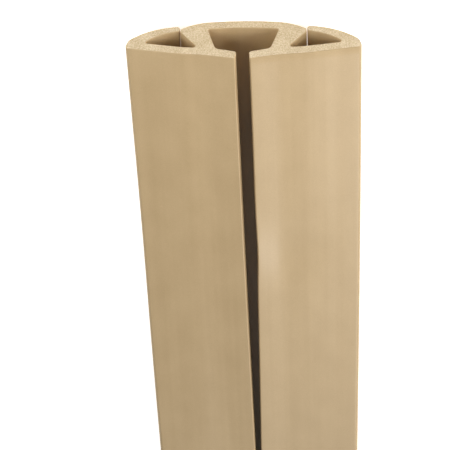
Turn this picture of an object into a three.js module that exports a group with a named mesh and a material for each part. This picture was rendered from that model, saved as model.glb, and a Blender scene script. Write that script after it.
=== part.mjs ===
// Floor cord cover: one length of flexible vinyl, extruded in one piece.
// Its domed back has three channels in it, and each one opens through a slit.
// Millimetres, +Z up. It lies on its domed back with the flat underside up, as when a cord is laid in.
import * as THREE from 'three';

// Overall sizes of the stock
const width = 63.5;
const height = 15.9;
const length = 1828.8;

// Walls
const floorThickness = 3.1;
const roofThickness = 3.1;
const wingWall = 2.3;

// Middle channel, which takes the cord through the slit in the underside
const slit = 0.6;
const channelFloorHalf = 6.4;
const channelFloorRise = 0.3;
const channelRoofHalf = 9.8;
const channelDrop = 1.1;

// Side channels, each with a narrow slit in the domed back
const sideSlit = 1;
const sideSlitFromMiddle = 17.75;
const sideChannelStart = 11.2;
const sideChannelToEdge = 4.7;

// Domed back between the side slits
const crownRadius = 44;
const crownSlope = 13.4;
const shoulderRadius = 17;
const shoulderFromMiddle = 13.8;
const shoulderEdgeDrop = 4.9;

// Wings outside the side slits
const wingEdgeDrop = 3.9;
const wingRadius = 21;
const wingBendDrop = 6.3;
const wingBendFromEdge = 5.7;
const noseHeight = 3.6;
const noseRadius = 4;
const noseDraft = 0.2;

// Rounding of the small corners
const lipRound = 0.4;
const lipInnerRound = 0.9;
const edgeRound = 1.1;
const tipRound = 0.9;
const channelFloorRound = 1.6;
const cornerRound = 0.7;
const slitRound = 0.3;

// One end stands sprung open, and the slit closes again over the open length
const openTurn = 6.9;
const wingTurn = 3;
const wingHinge = 16.3;
const openLength = 280;
const openSteps = 14;

// Largest gap between a round stretch and its straight steps, and the closest that two points lie
const roundness = 0.02;
const closest = 0.01;

const radians = THREE.MathUtils.degToRad;

// A corner of the section, x out from the middle and z up from the underside, with its round
function corner(x, z, round) {
  return { x, z, round };
}

// Corners of the right half, from the lip round the outside to the crown
function outerCorners() {
  const edge = width / 2;
  const slitInside = sideSlitFromMiddle - sideSlit / 2;
  const slitOutside = sideSlitFromMiddle + sideSlit / 2;
  const wingTop = height - wingEdgeDrop;
  const shoulderTop = height - shoulderEdgeDrop;
  const crownRise = crownRadius * (1 / Math.cos(radians(crownSlope)) - 1);
  const crownTop = height + crownRise;
  const shoulder = crownTop - shoulderFromMiddle * Math.tan(radians(crownSlope));
  const wingBend = edge - wingBendFromEdge;
  const wingBendTop = height - wingBendDrop;
  return [
    corner(slit / 2, 0, lipRound),
    corner(edge, 0, edgeRound),
    corner(edge - noseDraft, noseHeight, noseRadius),
    corner(wingBend, wingBendTop, wingRadius),
    corner(slitOutside, wingTop, tipRound),
    corner(slitOutside, wingTop - wingWall, slitRound),
    corner(wingBend - wingWall, wingBendTop - wingWall, wingRadius - wingWall),
    corner(edge - sideChannelToEdge, floorThickness, cornerRound),
    corner(sideChannelStart, floorThickness, cornerRound),
    corner(slitInside, wingTop - wingWall, slitRound),
    corner(slitInside, shoulderTop, slitRound),
    corner(shoulderFromMiddle, shoulder, shoulderRadius),
    corner(0, crownTop, crownRadius),
  ];
}

// Corners of the middle channel's right half, from its roof down to the lip, where its floor is lowest
function channelCorners() {
  const roof = height - roofThickness;
  const roofRadius = crownRadius - roofThickness;
  const roofSlope = Math.asin(channelRoofHalf / roofRadius) * 0.75;
  const roofRise = roofRadius * (1 / Math.cos(roofSlope) - 1);
  return [
    corner(0, roof + roofRise, roofRadius),
    corner(channelRoofHalf, roof - channelDrop, cornerRound),
    corner(channelFloorHalf, floorThickness + channelFloorRise, channelFloorRound),
    corner(slit / 2, floorThickness, lipInnerRound),
  ];
}

// The whole section at rest, as one loop: outside, left lip, middle channel, right lip
function sectionCorners() {
  const mirrored = ({ x, z, round }) => corner(-x, z, round);
  const outer = outerCorners();
  const channel = channelCorners();
  const outerLeft = outer.slice(0, -1).reverse().map(mirrored);
  const channelLeft = channel.slice(1).reverse().map(mirrored);
  return [...outer, ...outerLeft, ...channelLeft, ...channel];
}

// Turns a loop of corners into points, with each corner rounded as far as its edges allow
function roundedLoop(corners) {
  const count = corners.length;
  const at = (i) => corners[(i + count) % count];
  const edge = (i) => new THREE.Vector2(at(i + 1).x - at(i).x, at(i + 1).z - at(i).z);
  const turnAt = (i) => {
    const before = edge(i - 1);
    const after = edge(i);
    return Math.atan2(before.cross(after), before.dot(after));
  };
  const tangent = (i) => at(i).round * Math.tan(Math.abs(turnAt(i)) / 2);
  const room = (i) => Math.min(1, edge(i).length() / (tangent(i) + tangent((i + 1) % count)));
  const points = [];
  for (let i = 0; i < count; i += 1) {
    const share = Math.min(room(i), room(i - 1));
    points.push(...arc(at(i), edge(i - 1).normalize(), turnAt(i), at(i).round * share));
  }
  return points.filter((point, i) => point.distanceTo(points.at(i - 1)) > closest);
}

// Points of one round, from where the path leaves the straight to where it joins the next
function arc({ x, z }, heading, turn, radius) {
  const step = 2 * Math.acos(1 - roundness / Math.max(radius, 2 * roundness));
  const pieces = 2 * Math.floor(Math.abs(turn) / step / 2) + 1;
  const tangent = radius * Math.tan(Math.abs(turn) / 2);
  const side = Math.sign(turn);
  const startX = x - heading.x * tangent;
  const startZ = z - heading.y * tangent;
  const centreX = startX - side * heading.y * radius;
  const centreZ = startZ + side * heading.x * radius;
  const points = [];
  for (let i = 0; i <= pieces; i += 1) {
    const angle = (turn * i) / pieces;
    const point = new THREE.Vector2(startX, startZ);
    points.push(point.rotateAround(new THREE.Vector2(centreX, centreZ), angle));
  }
  return points;
}

// Turns a point about a hinge, with a positive angle lifting what lies outside it
function turned(point, hinge, angle) {
  return point.clone().rotateAround(hinge, angle);
}

// Springs the section open: the roof bends over the middle channel, and the wings turn up
function sprung(point, share) {
  const half = new THREE.Vector2(Math.abs(point.x), point.y);
  const hingeOnFloor = half.y <= floorThickness ? wingHinge : sideSlitFromMiddle;
  if (half.x > hingeOnFloor) {
    const wingFoot = new THREE.Vector2(wingHinge, floorThickness / 2);
    half.copy(turned(half, wingFoot, radians(wingTurn) * share));
  }
  const onRoof = Math.abs(point.x) < channelRoofHalf && point.y > height - roofThickness - channelDrop;
  const bent = onRoof ? half.x / channelRoofHalf : 1;
  const roofPoint = new THREE.Vector2((bent * channelRoofHalf) / 2, height - roofThickness / 2);
  const opened = turned(half, roofPoint, radians(openTurn) * share * bent);
  return new THREE.Vector2(Math.sign(point.x) * opened.x, opened.y);
}

// How far the section is open at a distance from the sprung end, from 1 down to 0
function openShare(distance) {
  return distance < openLength ? (1 + Math.cos((Math.PI * distance) / openLength)) / 2 : 0;
}

// Distances from the sprung end at which the section is set out
function stations() {
  const distances = [];
  for (let step = 0; step <= openSteps; step += 1) distances.push((openLength * step) / openSteps);
  return [...distances, length];
}

// The skin from station to station, closed by the section at both ends
function coverGeometry() {
  const outline = roundedLoop(sectionCorners());
  const distances = stations();
  const positions = [];
  for (const distance of distances) {
    for (const point of outline) {
      const { x, y: z } = sprung(point, openShare(distance));
      positions.push(x, distance - length / 2, z);
    }
  }
  const count = outline.length;
  const faces = [];
  for (let ring = 0; ring < distances.length - 1; ring += 1) {
    for (let i = 0; i < count; i += 1) {
      const near = ring * count + i;
      const next = ring * count + ((i + 1) % count);
      faces.push(near, near + count, next, next, near + count, next + count);
    }
  }
  const far = (distances.length - 1) * count;
  const openOutline = outline.map((point) => sprung(point, 1));
  for (const [a, b, c] of THREE.ShapeUtils.triangulateShape(openOutline, [])) {
    faces.push(a, b, c);
  }
  for (const [a, b, c] of THREE.ShapeUtils.triangulateShape(outline, [])) {
    faces.push(far + a, far + c, far + b);
  }
  const geometry = new THREE.BufferGeometry();
  geometry.setAttribute('position', new THREE.Float32BufferAttribute(positions, 3));
  geometry.setIndex(faces);
  geometry.computeVertexNormals();
  return geometry;
}

const beigeVinyl = new THREE.MeshStandardMaterial({ color: '#cdb48c', roughness: 0.6, metalness: 0 });

// The section is drawn with its flat underside down, so the cover is turned over onto its back
const cordCover = new THREE.Mesh(coverGeometry(), beigeVinyl);
cordCover.name = 'cord_cover';
cordCover.rotation.y = Math.PI;
cordCover.position.z = height;

const group = new THREE.Group();
group.add(cordCover);

export default group;
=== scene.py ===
import math

import bmesh
import bpy
import numpy as np
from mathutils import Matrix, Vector


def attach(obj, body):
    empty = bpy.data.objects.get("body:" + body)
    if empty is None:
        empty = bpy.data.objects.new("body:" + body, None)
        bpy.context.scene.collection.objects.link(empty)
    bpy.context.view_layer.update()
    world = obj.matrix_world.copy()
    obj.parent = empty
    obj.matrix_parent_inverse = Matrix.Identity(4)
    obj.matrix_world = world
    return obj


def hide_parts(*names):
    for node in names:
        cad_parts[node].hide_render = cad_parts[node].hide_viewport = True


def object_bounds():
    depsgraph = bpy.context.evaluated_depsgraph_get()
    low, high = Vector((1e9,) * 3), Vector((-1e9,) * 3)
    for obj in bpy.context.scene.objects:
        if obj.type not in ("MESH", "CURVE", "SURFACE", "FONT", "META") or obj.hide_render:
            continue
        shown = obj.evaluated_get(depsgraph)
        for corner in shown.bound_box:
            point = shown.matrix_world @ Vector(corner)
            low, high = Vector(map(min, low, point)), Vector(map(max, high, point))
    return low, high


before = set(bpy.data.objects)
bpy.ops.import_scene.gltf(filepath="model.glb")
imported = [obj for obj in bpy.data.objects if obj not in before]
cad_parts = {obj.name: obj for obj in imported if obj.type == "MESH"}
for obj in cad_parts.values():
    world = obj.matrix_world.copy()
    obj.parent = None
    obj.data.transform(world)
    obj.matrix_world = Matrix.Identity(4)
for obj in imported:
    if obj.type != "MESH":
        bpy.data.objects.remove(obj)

cad_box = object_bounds()


# The cord cover
# One length of flexible vinyl, pushed through a die in one piece and cut square with a saw.
# Nothing is fixed to it. It lies on its domed back, and one end is sprung open at the slit.

mm = 0.001
length = cad_box[1].y - cad_box[0].y
width = 63.5 * mm
height = 15.9 * mm

floor_thickness = 3.1 * mm
roof_thickness = 3.1 * mm
wing_wall = 2.3 * mm

slit = 0.6 * mm
channel_floor_half = 6.4 * mm
channel_floor_rise = 0.3 * mm
channel_roof_half = 9.8 * mm
channel_drop = 1.1 * mm
channel_roof_curved_share = 0.75

side_slit = 1 * mm
side_slit_from_middle = 17.75 * mm
side_channel_start = 11.2 * mm
side_channel_to_edge = 4.7 * mm

crown_radius = 44 * mm
crown_slope = math.radians(13.4)
shoulder_radius = 17 * mm
shoulder_from_middle = 13.8 * mm
shoulder_edge_drop = 4.9 * mm

wing_edge_drop = 3.9 * mm
wing_radius = 21 * mm
wing_bend_drop = 6.3 * mm
wing_bend_from_edge = 5.7 * mm
nose_height = 3.6 * mm
nose_radius = 4 * mm
nose_draft = 0.2 * mm

lip_round = 0.4 * mm
lip_inner_round = 0.9 * mm
edge_round = 1.1 * mm
tip_round = 0.9 * mm
channel_floor_round = 1.6 * mm
corner_round = 0.7 * mm
slit_round = 0.3 * mm


# The section is drawn with its flat side down, at z = 0, and is turned over where it is laid
def outer_corners():
    """Corners of the right half as (x, z, round), from the lip round the outside to the crown."""
    edge = width / 2
    slit_inside = side_slit_from_middle - side_slit / 2
    slit_outside = side_slit_from_middle + side_slit / 2
    wing_top = height - wing_edge_drop
    shoulder_top = height - shoulder_edge_drop
    crown_top = height + crown_radius * (1 / math.cos(crown_slope) - 1)
    shoulder = crown_top - shoulder_from_middle * math.tan(crown_slope)
    wing_bend = edge - wing_bend_from_edge
    wing_bend_top = height - wing_bend_drop
    return [
        (slit / 2, 0, lip_round),
        (edge, 0, edge_round),
        (edge - nose_draft, nose_height, nose_radius),
        (wing_bend, wing_bend_top, wing_radius),
        (slit_outside, wing_top, tip_round),
        (slit_outside, wing_top - wing_wall, slit_round),
        (wing_bend - wing_wall, wing_bend_top - wing_wall, wing_radius - wing_wall),
        (edge - side_channel_to_edge, floor_thickness, corner_round),
        (side_channel_start, floor_thickness, corner_round),
        (slit_inside, wing_top - wing_wall, slit_round),
        (slit_inside, shoulder_top, slit_round),
        (shoulder_from_middle, shoulder, shoulder_radius),
        (0, crown_top, crown_radius),
    ]


def channel_corners():
    """Corners of the middle channel's right half, from its roof down to the lip."""
    roof = height - roof_thickness
    roof_radius = crown_radius - roof_thickness
    roof_slope = channel_roof_curved_share * math.asin(channel_roof_half / roof_radius)
    roof_rise = roof_radius * (1 / math.cos(roof_slope) - 1)
    return [
        (0, roof + roof_rise, roof_radius),
        (channel_roof_half, roof - channel_drop, corner_round),
        (channel_floor_half, floor_thickness + channel_floor_rise, channel_floor_round),
        (slit / 2, floor_thickness, lip_inner_round),
    ]


def section_corners():
    """The whole section at rest, as one loop: outside, left lip, middle channel, right lip."""
    outer = outer_corners()
    channel = channel_corners()
    outer_left = [(-x, z, r) for x, z, r in reversed(outer[:-1])]
    channel_left = [(-x, z, r) for x, z, r in reversed(channel[1:])]
    return outer + outer_left + channel_left + channel


arc_step = math.radians(7)
fewest_arc_steps = 2
straight_step = 1.2 * mm
closest = 0.02 * mm


def rounded_loop(corners):
    """The loop as an array of points: round at each corner, with even steps along the straights."""
    at = [np.array([x, z]) for x, z, _ in corners]
    rounds = [r for _, _, r in corners]
    count = len(corners)
    edges = [at[(i + 1) % count] - at[i] for i in range(count)]
    turns = [turn_between(edges[i - 1], edges[i]) for i in range(count)]
    reaches = [arc_reach(rounds[i], turns[i]) for i in range(count)]
    room = [
        min(1, np.linalg.norm(edges[i]) / (reaches[i] + reaches[(i + 1) % count]))
        for i in range(count)
    ]
    points = []
    for i in range(count):
        radius = rounds[i] * min(room[i], room[i - 1])
        arc = arc_points(at[i], edges[i - 1], turns[i], radius)
        if points:
            points += straight(points[-1], arc[0])
        points += arc
    points += straight(points[-1], points[0])
    loop = [p for i, p in enumerate(points) if np.linalg.norm(p - points[i - 1]) > closest]
    return np.array(loop)


def turn_between(before, after):
    """The angle from one edge to the next, positive where the loop turns left."""
    cross = before[0] * after[1] - before[1] * after[0]
    return math.atan2(cross, before @ after)


def arc_reach(radius, turn):
    """How far from its corner a round leaves the straight."""
    return radius * math.tan(abs(turn) / 2)


def arc_points(corner, edge_before, turn, radius):
    """Points of one round, from where the loop leaves the straight to where it joins the next."""
    heading = edge_before / np.linalg.norm(edge_before)
    start = corner - heading * arc_reach(radius, turn)
    to_centre = math.copysign(radius, turn) * np.array([-heading[1], heading[0]])
    steps = max(fewest_arc_steps, math.ceil(abs(turn) / arc_step))
    angles = [turn * step / steps for step in range(steps + 1)]
    return [start + to_centre + turned(-to_centre, angle) for angle in angles]


def straight(start, end):
    """Points between two others, not counting them."""
    steps = int(np.linalg.norm(end - start) / straight_step)
    return [start + (end - start) * i / (steps + 1) for i in range(1, steps + 1)]


def turned(vectors, angles):
    """Flat vectors turned about the origin, all by one angle or each by its own."""
    cos, sin = np.cos(angles), np.sin(angles)
    x, z = vectors[..., 0], vectors[..., 1]
    return np.stack([x * cos - z * sin, x * sin + z * cos], -1)


open_turn = math.radians(6.9)
open_length = 280 * mm
wing_turn = math.radians(3)
wing_hinge = 16.3 * mm
wing_hinge_reach = 6 * mm
just_over_floor = 1.01 * floor_thickness


def open_share(distance):
    """How far the section is open at a distance from the sprung end, from 1 down to 0."""
    return (1 + math.cos(math.pi * min(distance / open_length, 1))) / 2


def sprung(loop, share):
    """The loop sprung open: the wings turn up, and the roof bends over the middle channel."""
    side = np.sign(loop[:, 0])
    half = np.stack([abs(loop[:, 0]), loop[:, 1]], -1)
    half = wing_turned(half, share)
    half = roof_bent(half, share)
    return np.stack([side * half[:, 0], half[:, 1]], -1)


def wing_turned(half, share):
    """A half section with its wing turned up, where the floor bends softly over a short reach."""
    out, up = half[:, 0], half[:, 1]
    on_floor = up <= just_over_floor
    on_wing = (out > side_slit_from_middle) & ~on_floor
    past_hinge = np.clip((out - wing_hinge) / wing_hinge_reach + 0.5, 0, 1)
    bent = np.where(on_wing, 1, np.where(on_floor, past_hinge, 0))
    hinge_out = wing_hinge + (bent - 1) * wing_hinge_reach / 2
    return hinged(half, hinge_out, floor_thickness / 2, wing_turn * share * bent)


def roof_bent(half, share):
    """A half section turned outwards, with the roof taking up the bend along its width."""
    out, up = half[:, 0], half[:, 1]
    on_roof = (out < channel_roof_half) & (up > height - roof_thickness - channel_drop)
    bent = np.where(on_roof, out / channel_roof_half, 1)
    hinge_out = bent * channel_roof_half / 2
    return hinged(half, hinge_out, height - roof_thickness / 2, open_turn * share * bent)


def hinged(points, hinge_out, hinge_up, angles):
    """Points turned about hinges that share one height, each by its own angle."""
    hinges = np.stack([hinge_out, np.full(len(points), hinge_up)], -1)
    return hinges + turned(points - hinges, angles)


def swell(distance, middle, reach):
    """A smooth swell, 1 at its middle."""
    return np.exp(-(((distance - middle) / reach) ** 2))


def curl(out, reach):
    """A curl that is steepest at the lip, where it is 1, and gone at its reach."""
    return np.clip(1 - out / reach, 0, 1) ** 2


def eased(share):
    """A share from 0 to 1, eased at both ends."""
    share = np.clip(share, 0, 1)
    return share * share * (3 - 2 * share)


lip_curl = 0.3 * mm
lip_curl_reach = 12 * mm
sag = 0.25 * mm
sag_from_middle = 9 * mm
sag_reach = 5 * mm
ripple = 0.01 * mm
ripple_widths = (9.4 * mm, 5.3 * mm)


def flat_side_rise(across, distance):
    """How far the flat side rises: lips curled at the sprung end, a sag and faint ripples."""
    out = abs(across)
    rise = lip_curl * open_share(distance) * curl(out, lip_curl_reach)
    rise = rise - sag * swell(out, sag_from_middle, sag_reach)
    for start, ripple_width in enumerate(ripple_widths):
        rise = rise + ripple * np.sin(2 * math.pi * across / ripple_width + start)
    return rise


dent_middle = 77 * mm
dent_reach = 12 * mm
dent_width = 8.5 * mm
dent_end = 28 * mm
dent_push = 0.36 * mm
dent_lift = 0.34 * mm
dent_sink = 0.5 * mm


def dent_rise(out):
    """How far the dent lifts the lip and sinks the flat side next to it."""
    hollow = eased(out / dent_width) * eased((dent_end - out) / (dent_end - dent_width))
    return dent_lift * curl(out, dent_width) - dent_sink * hollow


right_wing_out = 0.3 * mm
left_wing_in = 0.33 * mm
left_wing_in_middle = 66 * mm
left_wing_in_reach = 50 * mm


def wing_shift(across, distance):
    """How far the section shifts where the right wing stands out and the left is pressed in."""
    on_wing = np.clip((abs(across) - wing_hinge) / (width / 2 - wing_hinge), 0, 1)
    pressed = left_wing_in * swell(distance, left_wing_in_middle, left_wing_in_reach)
    return on_wing * np.where(across > 0, right_wing_out, pressed)


side_slit_pinch = 0.15 * mm
side_slit_pinch_reach = 5 * mm


def pinch_shift(across, up, distance):
    """How far the section shifts where both sides of a side slit are pinched together."""
    out = abs(across)
    above_floor = np.clip(up / floor_thickness - 1, 0, 1)
    pinch = side_slit_pinch * swell(out, side_slit_from_middle, side_slit_pinch_reach)
    towards_slit = np.sign(across) * np.sign(side_slit_from_middle - out)
    return pinch * towards_slit * above_floor * open_share(distance)


lip_bow = 0.34 * mm
lip_bow_middle = 95 * mm
lip_bow_reach = 75 * mm


def worn(points, loop, distance):
    """The section with its soft faults, which shift it across and lift its flat side."""
    across, up = loop[:, 0], loop[:, 1]
    out = abs(across)
    right = across > 0
    on_flat_side = np.clip(2 - up / floor_thickness, 0, 1)
    dent = right * swell(distance, dent_middle, dent_reach)
    rise = flat_side_rise(across, distance) + dent * dent_rise(out)
    bow = right * lip_bow * curl(out, width / 2) * swell(distance, lip_bow_middle, lip_bow_reach)
    push = dent * dent_push * curl(out, dent_width) * on_flat_side
    shift = bow + push + wing_shift(across, distance) + pinch_shift(across, up, distance)
    return points + np.stack([shift, -rise * on_flat_side], -1)


near_step = 3 * mm
far_step = 24 * mm
saw_round = 0.18 * mm
saw_round_middle = 0.3 * saw_round


def distances():
    """Distances from the sprung end at which the skin has a ring of points."""
    near = np.arange(near_step, open_length, near_step)
    far = np.arange(open_length, length - near_step, far_step)
    into_cut = np.array([0, saw_round_middle, saw_round])
    return np.sort(np.concatenate([into_cut, near, far, length - into_cut]))


def saw_inset(distance):
    """How far the skin draws in next to a cut end, which takes the sharpness off the edge."""
    into = min(distance, length - distance)
    if into >= saw_round:
        return 0
    return saw_round - math.sqrt(saw_round**2 - (saw_round - into) ** 2)


def inset(loop, depth):
    """The loop drawn in by a depth, square to itself."""
    ahead = np.roll(loop, -1, 0) - np.roll(loop, 1, 0)
    inward = np.stack([-ahead[:, 1], ahead[:, 0]], -1)
    inward /= np.linalg.norm(inward, axis=1)[:, None]
    return loop + inward * depth


def lying_ring(loop, distance):
    """The section at a distance, as the cover lies: on its back, the sprung end towards -Y."""
    points = worn(sprung(loop, open_share(distance)), loop, distance)
    points = inset(points, saw_inset(distance))
    return [(-x, distance - length / 2, height - z) for x, z in points]


skin_slot = 0
cut_slot = 1


def cover_mesh():
    """The skin, ring by ring, closed by a cut face at each end."""
    loop = rounded_loop(section_corners())
    skin = bmesh.new()
    rings = [[skin.verts.new(co) for co in lying_ring(loop, distance)] for distance in distances()]
    skin.faces.new(reversed(rings[0])).material_index = cut_slot
    for ring, next_ring in zip(rings, rings[1:]):
        for i in range(len(ring)):
            after = (i + 1) % len(ring)
            skin.faces.new((ring[i], ring[after], next_ring[after], next_ring[i]))
    skin.faces.new(rings[-1]).material_index = cut_slot
    bmesh.ops.recalc_face_normals(skin, faces=skin.faces)
    mesh = bpy.data.meshes.new("cord_cover_skin")
    skin.to_mesh(mesh)
    skin.free()
    for face in mesh.polygons:
        face.use_smooth = face.material_index == skin_slot
    return mesh


class Surface:
    """A material that is put together from nodes, each with its place on the node board."""

    def __init__(self, name):
        self.material = bpy.data.materials.new(name)
        self.material.use_nodes = True
        self.tree = self.material.node_tree
        self.tree.nodes.clear()

    def add(self, kind, place, **values):
        """A new node, with values for its sockets, whose names have _ for a space."""
        node = self.tree.nodes.new(kind)
        node.location = place
        for socket, value in values.items():
            node.inputs[socket.replace("_", " ")].default_value = value
        return node

    def link(self, output, socket):
        """Links one node's output to another node's socket."""
        self.tree.links.new(output, socket)

    def spot(self):
        """The spot on the piece, which every texture starts from."""
        return self.add("ShaderNodeTexCoord", (-1400, 0)).outputs["Object"]

    def noise(self, spot, y, fineness, detail, along=1, roughness=0.5):
        """A cloudy grey, drawn out along the length where along is below 1."""
        scaled = self.add("ShaderNodeMapping", (-1200, y), Scale=(1, along, 1))
        self.link(spot, scaled.inputs["Vector"])
        cloud = self.add("ShaderNodeTexNoise", (-1000, y), Scale=fineness, Detail=detail)
        cloud.inputs["Roughness"].default_value = roughness
        self.link(scaled.outputs["Vector"], cloud.inputs["Vector"])
        return cloud.outputs["Fac"]

    def mix(self, place, first, second, share):
        """A grey between two others, with a share of the second."""
        node = self.add("ShaderNodeMix", place)
        node.data_type = "FLOAT"
        factor, _, first_grey, second_grey = node.inputs[:4]
        factor.default_value = share
        self.link(first, first_grey)
        self.link(second, second_grey)
        return node.outputs[0]

    def two_tone(self, grey, dark, light, spread):
        """A colour from dark to light, as the grey goes over a spread to each side of its middle."""
        node = self.add("ShaderNodeValToRGB", (-300, 200))
        low, high = node.color_ramp.elements
        low.position = 0.5 - spread
        low.color = (*dark, 1)
        high.position = 0.5 + spread
        high.color = (*light, 1)
        self.link(grey, node.inputs["Fac"])
        return node.outputs["Color"]

    def bumps(self, place, grey, strength, depth, under=None):
        """Bumps where the grey is light, laid over other bumps."""
        node = self.add("ShaderNodeBump", place, Strength=strength, Distance=depth)
        self.link(grey, node.inputs["Height"])
        if under is not None:
            self.link(under, node.inputs["Normal"])
        return node.outputs["Normal"]

    def shader(self, **values):
        """The shader of the surface, linked to the material's output."""
        shader = self.add("ShaderNodeBsdfPrincipled", (100, 0), **values)
        output = self.add("ShaderNodeOutputMaterial", (400, 0))
        self.link(shader.outputs["BSDF"], output.inputs["Surface"])
        return shader


vinyl_dark = (0.495, 0.351, 0.184)
vinyl_light = (0.586, 0.427, 0.234)
vinyl_roughest = 0.44
vinyl_glossiest = 0.35
line_depth = 0.06 * mm
grain_depth = 0.03 * mm


def vinyl_material():
    """Matte beige vinyl as it leaves the die: faint lines along it, soft mottling, a fine grain."""
    vinyl = Surface("beige_vinyl")
    spot = vinyl.spot()
    lines = vinyl.noise(spot, y=300, fineness=420, detail=3, along=0.012)
    bands = vinyl.noise(spot, y=0, fineness=90, detail=2, along=0.06)
    mottle = vinyl.noise(spot, y=-300, fineness=130, detail=4, along=0.6)
    grain = vinyl.noise(spot, y=-600, fineness=3200, detail=2)
    streaks = vinyl.mix((-700, 300), lines, bands, share=0.5)
    flecks = vinyl.mix((-700, -100), mottle, grain, share=0.5)
    tone = vinyl.mix((-500, 100), streaks, flecks, share=0.6)
    colour = vinyl.two_tone(tone, vinyl_dark, vinyl_light, spread=0.15)
    gloss = vinyl.add(
        "ShaderNodeMapRange", (-300, -100), To_Min=vinyl_glossiest, To_Max=vinyl_roughest)
    vinyl.link(mottle, gloss.inputs["Value"])
    drawn = vinyl.bumps((-300, -350), lines, strength=0.35, depth=line_depth)
    grainy = vinyl.bumps((-100, -350), grain, strength=0.3, depth=grain_depth, under=drawn)
    shader = vinyl.shader(Specular_IOR_Level=0.5)
    vinyl.link(colour, shader.inputs["Base Color"])
    vinyl.link(gloss.outputs["Result"], shader.inputs["Roughness"])
    vinyl.link(grainy, shader.inputs["Normal"])
    return vinyl.material


sawn_dark = (0.485, 0.359, 0.196)
sawn_light = (0.723, 0.597, 0.407)
torn_depth = 0.12 * mm
crumb_depth = 0.08 * mm


def cut_material():
    """The sawn end of the vinyl: paler, rough and speckled with torn grains."""
    cut = Surface("sawn_vinyl")
    spot = cut.spot()
    grain = cut.noise(spot, y=200, fineness=2300, detail=2, roughness=0.6)
    patch = cut.noise(spot, y=-100, fineness=260, detail=2)
    crumbs = cut.add("ShaderNodeTexVoronoi", (-1000, -400), Scale=2200)
    cut.link(spot, crumbs.inputs["Vector"])
    tone = cut.mix((-600, 100), grain, patch, share=0.25)
    colour = cut.two_tone(tone, sawn_dark, sawn_light, spread=0.14)
    torn = cut.bumps((-300, -150), grain, strength=0.5, depth=torn_depth)
    crumbly = cut.bumps(
        (-100, -300), crumbs.outputs["Distance"], strength=0.4, depth=crumb_depth, under=torn)
    shader = cut.shader(Roughness=0.8, Specular_IOR_Level=0.3)
    cut.link(colour, shader.inputs["Base Color"])
    cut.link(crumbly, shader.inputs["Normal"])
    return cut.material


cover = bpy.data.objects.new("cord_cover_skin", cover_mesh())
bpy.context.scene.collection.objects.link(cover)
cover.data.materials.append(vinyl_material())
cover.data.materials.append(cut_material())
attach(cover, "root")
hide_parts("cord_cover")


# The floor
# The white studio floor that the cover lies on, far wider than the picture.
# It is milky plastic, softly lit through from below, so it shows hardly any shadow.

floor_size = 60
floor_white = (0.96, 0.96, 0.96, 1)
floor_glow = 0.68
white = (1, 1, 1, 1)

edge = floor_size / 2
floor_corners = [(-edge, -edge, 0), (edge, -edge, 0), (edge, edge, 0), (-edge, edge, 0)]
floor_mesh = bpy.data.meshes.new("studio_floor")
floor_mesh.from_pydata(floor_corners, [], [(0, 1, 2, 3)])
studio_floor = bpy.data.objects.new("studio_floor", floor_mesh)
bpy.context.scene.collection.objects.link(studio_floor)
milky = Surface("pale_floor")
milky.shader(
    Base_Color=floor_white,
    Roughness=0.9,
    Specular_IOR_Level=0.1,
    Emission_Color=white,
    Emission_Strength=floor_glow,
)
floor_mesh.materials.append(milky.material)


# The light and the camera
# A dim white room with soft lights beside, over and behind the sprung end, and two over the rest.
# A long lens looks down from beyond that end, turned half round so that the end is at the top.

scene = bpy.context.scene
scene.view_settings.view_transform = "Standard"

room_light = 0.2

world = bpy.data.worlds.new("studio")
scene.world = world
world.use_nodes = True
background = world.node_tree.nodes["Background"]
background.inputs["Color"].default_value = white
background.inputs["Strength"].default_value = room_light


def soft_light(name, size, power, place, target, beam=180):
    """An oblong light of two sides, facing a target, with the angle of its beam in degrees."""
    data = bpy.data.lights.new(name, "AREA")
    data.shape = "RECTANGLE"
    data.size, data.size_y = size
    data.energy = power
    data.spread = math.radians(beam)
    light = bpy.data.objects.new(name, data)
    scene.collection.objects.link(light)
    light.location = place
    light.rotation_euler = (target - place).to_track_quat("-Z", "Y").to_euler()


sprung_end = Vector((0, -length / 2, height))
down = Vector((0, 0, -1))

key_place = sprung_end + Vector((-0.38, -0.06, 0.26))
end_place = sprung_end + Vector((0.16, -0.10, 0.22))
sheen_place = sprung_end + Vector((-0.37, 0.62, 0.56))
length_place = sprung_end + Vector((-0.10, 1.35, 0.65))
far_place = sprung_end + Vector((0, 1.2, 0.6))

soft_light("key_light", size=(0.25, 0.25), power=1.64, place=key_place, target=sprung_end)
soft_light("end_light", size=(0.15, 0.15), power=0.4, place=end_place, target=sprung_end)
soft_light("sheen_light", size=(0.15, 0.15), power=1.57, place=sheen_place, target=sprung_end)
soft_light(
    "length_light", size=(0.4, 1.2), power=2.25, place=length_place, target=length_place + down)
soft_light(
    "far_light", size=(0.3, 1.2), power=1.1, place=far_place, target=far_place + down, beam=80)

# The camera's place, its turn in degrees and its lens in millimetres
view_place = sprung_end + Vector((-26.47, -419.65, 507.14)) * mm
view_turn = (-43.727, 1.810, 177.921)
view_lens = 188.8
film_width = 36

lens = bpy.data.cameras.new("long_lens")
lens.sensor_width = film_width
lens.lens = view_lens
lens.clip_end = 20
camera = bpy.data.objects.new("long_lens", lens)
scene.collection.objects.link(camera)
camera.location = view_place
camera.rotation_euler = [math.radians(angle) for angle in view_turn]
scene.camera = camera
